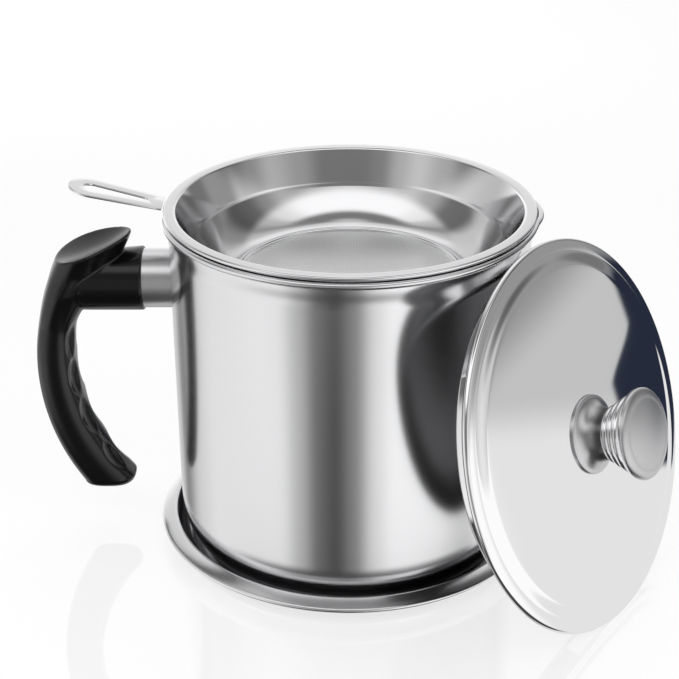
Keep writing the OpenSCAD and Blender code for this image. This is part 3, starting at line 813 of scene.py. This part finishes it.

# ---- Lid ----
# A shallow dome spun from polished sheet, with a rounded shoulder, a flange and a
# rolled edge. A locating ring is spot-welded under it. The underside and the ring's
# inside are satin, and painted dark as painted shade, so the pot's wall reflects them dark.
LID_MID = Vector((85.3346, -53.5303, 69.6074))
LID_LEAN, LID_FACING = 18.9, -36.1
LID_R = 73.5
LID_BEAD = 1.3
LID_SHEET = 0.7
PLUG_R = 66.4
PLUG_DEPTH = 9.0
RING_BEND = 1.2
SHOULDER_R = PLUG_R - 1.4
SHOULDER_IN, SHOULDER_OUT = 63.0, 69.2
FLANGE_FALL = 0.28
DOME_TOP, DOME_RISE = 4.5, 2.1
KNOB_BORE = 4.4

lean = Matrix.Translation(LID_MID * MM) @ Matrix.Rotation(
    math.radians(LID_FACING), 4, "Z") @ Matrix.Rotation(math.radians(90 - LID_LEAN), 4, "Y")


def dome_z(r):
    return DOME_TOP - DOME_RISE * (r / SHOULDER_R) ** 2


half = LID_SHEET / 2
flange_z = LID_BEAD - half
bore = KNOB_BORE / 2
dome = [(r, dome_z(r)) for r in (bore + (SHOULDER_IN - bore) * i / 48 for i in range(48))]
fall = dome_z(SHOULDER_IN) - flange_z - FLANGE_FALL
slope = dome_z(SHOULDER_IN - 0.5) - dome_z(SHOULDER_IN + 0.5)
shoulder = []
for i in range(25):
    t = i / 24
    ease = t * t * (3 - 2 * t)
    shoulder.append((SHOULDER_IN + (SHOULDER_OUT - SHOULDER_IN) * t,
                     dome_z(SHOULDER_IN) - fall * ease
                     - slope * (SHOULDER_OUT - SHOULDER_IN) * t * (1 - t) ** 2))
lid_path = dome + shoulder + [(LID_R - LID_BEAD, flange_z)]
lid = spin("lid_shell_spun", sheet_outline(lid_path, LID_SHEET, LID_BEAD), 360)
lid_grain, lid_marks = turned_grain(lean), handling_marks(lean)
mirror = steel("mirror_sheet", (0.84, 0.84, 0.85),
               rough=0.035, smear=0.02, lines=1.2, depth=0.015, bump=0.1,
               grain_of=lid_grain, marks_of=lid_marks)
# Painted shade: dark satin steel for the underside and the ring's inside, dark in the pot's
# reflection.
underside_shade_paint = steel("dark_underside_painted_shade", (0.16, 0.16, 0.165),
              rough=0.34, smear=0.05, lines=2.0, depth=0.12, bump=0.5,
              grain_of=lid_grain, marks_of=lid_marks)
lid.data.materials.append(mirror)
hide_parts("lid_shell")
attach(lid, "lid")

wall, under = PLUG_R - half, LID_BEAD - LID_SHEET * 1.5
ring_path = (
    [(wall + 3.2, under)]
    + arc(wall + RING_BEND, under - RING_BEND, RING_BEND, 90, 180)
    + arc(wall - RING_BEND, -PLUG_DEPTH + RING_BEND + half, RING_BEND, 0, -80))
locating = spin("lid_locating_ring", sheet_outline(ring_path, LID_SHEET), 320)
locating.data.materials.append(mirror)
# Downward faces, and the ring's inner faces, take the painted shade.
for piece in (lid, locating):
    piece.data.materials.append(underside_shade_paint)
    for face in piece.data.polygons:
        out = Vector((face.center.x, face.center.y, 0))
        if face.normal.z < -0.3 or (piece == locating and face.normal.dot(out) < 0):
            face.material_index = 1
    piece.data.transform(lean)
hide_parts("lid_ring")
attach(locating, "lid")

# ---- Knob ----
# Turned from bar in two pieces: a flared base that stands on the lid and a mushroom
# head with three swelling rings, held by one screw. The colour is painted darker
# down the waist, as painted shade, and a little darker on the foot and face, so
# the rings are the brightest.
FOOT_Z = 4.77234
FOOT_R, FOOT_H = 14.8, 2.0
WAIST_R, WAIST_H = 9.6, 10.2
HEAD_R, HEAD_H, FACE_H = 16.8, 22.4, 3.0
KNOB_H = 26
RING_R = 1.4
RIM_ROUND = 2.4
FACE_DISH = 0.38

flare = []
for i in range(25):
    t = i / 24
    flare.append((
        WAIST_R + (FOOT_R - RING_R - WAIST_R) * (1 - math.sin(math.pi / 2 * t)) ** 1.5,
        FOOT_H + 0.1 + (WAIST_H - FOOT_H - 0.1)
        * ((1 - math.cos(math.pi / 2 * t)) * 0.4 + 0.6 * t)))
base_outline = (
    [(2.2, 0.6), (12.5, 0.6), (12.5, 0), (FOOT_R - 0.4, 0), (FOOT_R, 0.4)]
    + arc(FOOT_R - 0.6, FOOT_H - 0.6, 0.6, 0, 90, 8) + flare + [(2.2, WAIST_H)]
)
head_outline = [(0, WAIST_H), (WAIST_R, WAIST_H)]
for radius, height in ((10.9, 11.6), (12.55, 14.7), (14.2, 17.8)):
    head_outline += arc(radius - RING_R, height, RING_R, -60, 50, 10)
head_outline += arc(HEAD_R - RIM_ROUND, HEAD_H, RIM_ROUND, -75, 0, 12)
rim_in = RIM_ROUND * 1.6
for i in range(1, 13):
    t = math.pi / 2 * i / 12
    head_outline.append((HEAD_R - rim_in * (1 - math.cos(t)),
                         HEAD_H + FACE_H * (1 - FACE_DISH) * math.sin(t)))
for i in range(1, 25):
    t = 1 - i / 24
    head_outline.append(((HEAD_R - rim_in) * t, HEAD_H + FACE_H * (1 - FACE_DISH * t * t)))
knob_steel = steel("turned_knob", (0.78, 0.78, 0.79),
                   rough=0.16, smear=0.05, lines=2.6, depth=0.12, bump=0.6)
tree = knob_steel.node_tree
shader = tree.nodes["Principled BSDF"]
parts = tree.nodes.new("ShaderNodeSeparateXYZ")
tree.links.new(own_place(tree), parts.inputs[0])
up = math_node(tree, "MULTIPLY", parts.outputs[2], 1 / MM / KNOB_H)


def by_height(stops):
    """Levels up the knob: each stop is (height in millimetres, level)."""
    return level_ramp(tree, up, [(height / KNOB_H, level) for height, level in stops])


# Painted shade: the colour darkens into the waist under the rings; the rings stay lightest.
painted_waist_shade = by_height([(0, 0.85), (4.5, 0.7), (8.3, 0.2), (10.6, 0.18), (11.4, 0.95), (21, 1.05),
                  (23.2, 0.76)])
softer = by_height([(0, 0.16), (9, 0.16), (11, 0.0), (21.5, 0.0), (23, 0.2)])
plain = shader.inputs["Base Color"].links[0].from_socket
tree.links.new(multiplied(tree, plain, painted_waist_shade), shader.inputs["Base Color"])
gloss = shader.inputs["Roughness"].links[0].from_socket
tree.links.new(math_node(tree, "ADD", gloss, softer), shader.inputs["Roughness"])
lift_up = Matrix.Translation((0, 0, FOOT_Z * MM))
for name, outline, node in (("knob_base_turned", base_outline, "knob_base"),
                            ("knob_head_turned", head_outline, "knob_head")):
    knob = spin(name, outline, 192)
    knob.data.materials.append(knob_steel)
    knob.matrix_world = lean @ lift_up
    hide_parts(node)
    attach(knob, "lid")
    knob.visible_glossy = False

screw_z = DOME_TOP - LID_SHEET / 2 - 1.1
knob_screw = pan_screw("knob_screw_pan", shank_r=2.0, shank_h=18.9, head_r=3.8, head_h=2.4,
                       pitch=0.7)
knob_screw.matrix_world = lean @ Matrix.Translation((0, 0, screw_z * MM)) @ Matrix.Rotation(
    math.pi, 4, "X")
knob_washer = flat_washer("knob_washer_flat", outer_r=6.0, bore_r=2.2, thick=1.0)
knob_washer.matrix_world = lean @ Matrix.Translation((0, 0, screw_z * MM))
for piece, node in ((knob_screw, "knob_screw"), (knob_washer, "knob_washer")):
    piece.visible_glossy = False
    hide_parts(node)
    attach(piece, "lid")

# ---- Studio ----
# A white glossy table, a white cloth behind, and strips of light and dark around
# that draw the upright bands in the brushed wall.
shape = bmesh.new()
bmesh.ops.create_circle(shape, cap_ends=True, segments=96, radius=6.0)
table_mesh = bpy.data.meshes.new("table")
shape.to_mesh(table_mesh)
shape.free()
table = bpy.data.objects.new("table", table_mesh)
bpy.context.scene.collection.objects.link(table)
white = bpy.data.materials.new("white_gloss_table")
white.use_nodes = True
tree = white.node_tree
tree.nodes.clear()
out = tree.nodes.new("ShaderNodeOutputMaterial")
ray = tree.nodes.new("ShaderNodeLightPath")
matt = tree.nodes.new("ShaderNodeBsdfDiffuse")
matt.inputs["Color"].default_value = (0.9, 0.9, 0.9, 1)
glow = tree.nodes.new("ShaderNodeEmission")
glow.inputs["Strength"].default_value = 1.38
gloss = tree.nodes.new("ShaderNodeBsdfGlossy")
gloss.inputs["Roughness"].default_value = 0.03
clear = tree.nodes.new("ShaderNodeBsdfTransparent")
fresnel = tree.nodes.new("ShaderNodeFresnel")
fresnel.inputs["IOR"].default_value = 1.85


def mix_shader(fac, a, b):
    node = tree.nodes.new("ShaderNodeMixShader")
    if isinstance(fac, float):
        node.inputs[0].default_value = fac
    else:
        tree.links.new(fac, node.inputs[0])
    tree.links.new(a, node.inputs[1])
    tree.links.new(b, node.inputs[2])
    return node.outputs[0]


lit = mix_shader(0.6, matt.outputs[0], glow.outputs[0])
seen = mix_shader(fresnel.outputs[0], lit, gloss.outputs[0])
other = mix_shader(ray.outputs["Is Glossy Ray"], matt.outputs[0], clear.outputs[0])
tree.links.new(mix_shader(ray.outputs["Is Camera Ray"], other, seen), out.inputs[0])
table.data.materials.append(white)

studio = bpy.data.worlds.new("studio")
bpy.context.scene.world = studio
studio.use_nodes = True
tree = studio.node_tree
tree.nodes.clear()
place = tree.nodes.new("ShaderNodeTexCoord")
parts = tree.nodes.new("ShaderNodeSeparateXYZ")
tree.links.new(place.outputs["Generated"], parts.inputs[0])
x, y, z = parts.outputs
side = math_node(tree, "ARCTAN2", x, math_node(tree, "MULTIPLY", y, -1.0))
side = math_node(tree, "ADD", math_node(tree, "DIVIDE", side, 2 * math.pi), 0.5)
height = math_node(tree, "DIVIDE", math_node(tree, "ARCSINE", z), math.pi / 180)


def ramp(stops):
    """Levels round the room: each stop is (degrees to the right of the front, level)."""
    return level_ramp(tree, side, [(degrees / 360 + 0.5, level) for degrees, level in stops],
                      "EASE")


NAVY = (0.022, 0.028, 0.05)
LEFT_PART = [(-180, 1.1), (-150, 1.25), (-120, 0.6), (-60, 1.0), (-30, 0.4), (0, 0.3), (30, 1.0)]
low_ring = ramp([(-180, 0.85), (-155, 0.7), (-140, 0.25), (-118, 0.8), (-98, 0.97),
                 (-46, 1.04), (-33, 0.6), (-21, 0.17), (-9, 0.075), (3, 0.27),
                 (17, 0.95), (28, 1.2), (60, 1.2), (88, 0.9), (180, 0.85)])
floor_ring = ramp([(-180, 0.4), (-140, 0.8), (-100, 0.7), (-70, 0.06), (86, 0.06), (98, 0.88),
                   (150, 0.88), (180, 0.4)])
lid_low_ring = ramp(LEFT_PART + [(60, 1.15), (92, 1.15), (97, 0.9), (150, 0.9), (180, 1.1)])
lid_ring = ramp(LEFT_PART + [(60, 1.15), (92, 1.15), (97, 0.9), (130, 0.9), (180, 1.1)])
shade_ring = ramp(LEFT_PART + [(60, 1.15), (92, 1.15), (96, 0.63), (130, 0.63), (180, 1.1)])
shoulder_ring = ramp(LEFT_PART + [(60, 1.1), (88, 0.7), (98, 0.34), (114, 0.34), (122, 0.2),
                                  (132, 0.2), (145, 0.8), (180, 1.1)])
high_ring = ramp([(-180, 0.85), (-150, 0.74), (-124, 0.66), (-108, 0.16), (-90, 0.18),
                  (-72, 0.46), (-52, 0.66), (-38, 0.5), (-24, 0.25), (-10, 0.2), (20, 0.2),
                  (38, 0.36), (60, 0.5), (76, 0.3), (90, 0.14), (106, 0.1), (126, 0.3),
                  (155, 0.75), (180, 0.85)])
upper_ring = ramp([(-180, 1.1), (-150, 0.95), (-130, 0.6), (-112, 0.32), (-96, 0.6), (-80, 1.0),
                   (-50, 1.2), (45, 1.2), (74, 0.9), (94, 0.55), (112, 0.34), (130, 0.6),
                   (150, 0.95), (180, 1.1)])
top_ring = ramp([(-180, 0.95), (-142, 0.75), (-112, 0.28), (-80, 0.22), (80, 0.22), (112, 0.28),
                 (142, 0.75), (180, 0.95)])


def climb(value, low, high, start=0.0, end=1.0):
    """A smooth climb from start to end while the value goes from low to high."""
    node = tree.nodes.new("ShaderNodeMapRange")
    node.interpolation_type = "SMOOTHSTEP"
    tree.links.new(value, node.inputs["Value"])
    for name, level in (("From Min", low), ("From Max", high), ("To Min", start), ("To Max", end)):
        node.inputs[name].default_value = level
    return node.outputs[0]


def blend(value, low, high, a, b):
    """Goes from a to b, each a level, a colour or a socket, as the value climbs."""
    node = tree.nodes.new("ShaderNodeMix")
    node.data_type = "RGBA"
    tree.links.new(climb(value, low, high), node.inputs["Factor"])
    for given, name in ((a, "A"), (b, "B")):
        if isinstance(given, (float, tuple)):
            level = given if isinstance(given, tuple) else (given,) * 3
            node.inputs[name].default_value = (*level, 1)
        else:
            tree.links.new(given, node.inputs[name])
    return node.outputs["Result"]


turned = math_node(tree, "SUBTRACT", math_node(tree, "MULTIPLY", side, 360.0), 180.0)
around = math_node(tree, "SUBTRACT", turned, 98.5)
slanted = math_node(tree, "ADD", height, math_node(tree, "MULTIPLY", around, 0.5))
# The dark floor comes up a little on the right, at the pot's foot.
above_floor = math_node(tree, "SUBTRACT", height, climb(turned, 35.0, 80.0, 0.0, 3.2))
room = blend(above_floor, -41.0, -35.0, floor_ring, low_ring)
room = blend(height, -24.0, -20.0, room, lid_low_ring)
lid_part = blend(slanted, -5.2, -1.6, lid_ring, shade_ring)
lid_part = blend(height, -2.0, 2.0, lid_part, shoulder_ring)
room = blend(height, -13.5, -12.0, room, lid_part)
# A dark blue curtain to the right, with a bulge in its edge, falls in the lid's face.
beyond = math_node(tree, "SUBTRACT", turned, climb(height, -7.6, -5.4, 110.6, 114.6))
dark = blend(beyond, -0.35, 0.35, room, NAVY)
dark = blend(slanted, -7.0, -6.3, room, dark)
dark = blend(height, -16.5, -14.8, room, dark)
dark = blend(height, -2.0, 2.0, dark, room)
room = blend(turned, 150.0, 160.0, dark, room)
room = blend(height, 14.0, 22.0, room, high_ring)
room = blend(height, 37.0, 45.0, room, upper_ring)
room = blend(height, 60.0, 69.0, room, top_ring)
room = blend(height, 78.0, 88.0, room, 0.6)
camera_white = tree.nodes.new("ShaderNodeMix")
camera_white.data_type = "RGBA"
ray = tree.nodes.new("ShaderNodeLightPath")
tree.links.new(ray.outputs["Is Camera Ray"], camera_white.inputs["Factor"])
tree.links.new(room, camera_white.inputs["A"])
camera_white.inputs["B"].default_value = (1, 1, 1, 1)
sky = tree.nodes.new("ShaderNodeBackground")
tree.links.new(camera_white.outputs["Result"], sky.inputs["Color"])
tree.links.new(sky.outputs[0], tree.nodes.new("ShaderNodeOutputWorld").inputs[0])

# ---- Camera ----
# A long lens from the front, a little above: it looks down into the strainer.
CAMERA_AT = (0.0, -546.4, 347.9)
CAMERA_DOWN = 25.871
LENS = 80.32
SIDE_SHIFT = -0.0155
eye = bpy.data.cameras.new("camera")
eye.lens = LENS
eye.sensor_width = 36.0
eye.shift_x = SIDE_SHIFT
eye.clip_start, eye.clip_end = 0.01, 50.0
camera = bpy.data.objects.new("camera", eye)
camera.location = Vector(CAMERA_AT) * MM
camera.rotation_euler = (math.radians(90 - CAMERA_DOWN), 0, 0)
bpy.context.scene.collection.objects.link(camera)
bpy.context.scene.camera = camera
bpy.context.scene.view_settings.view_transform = "Standard"
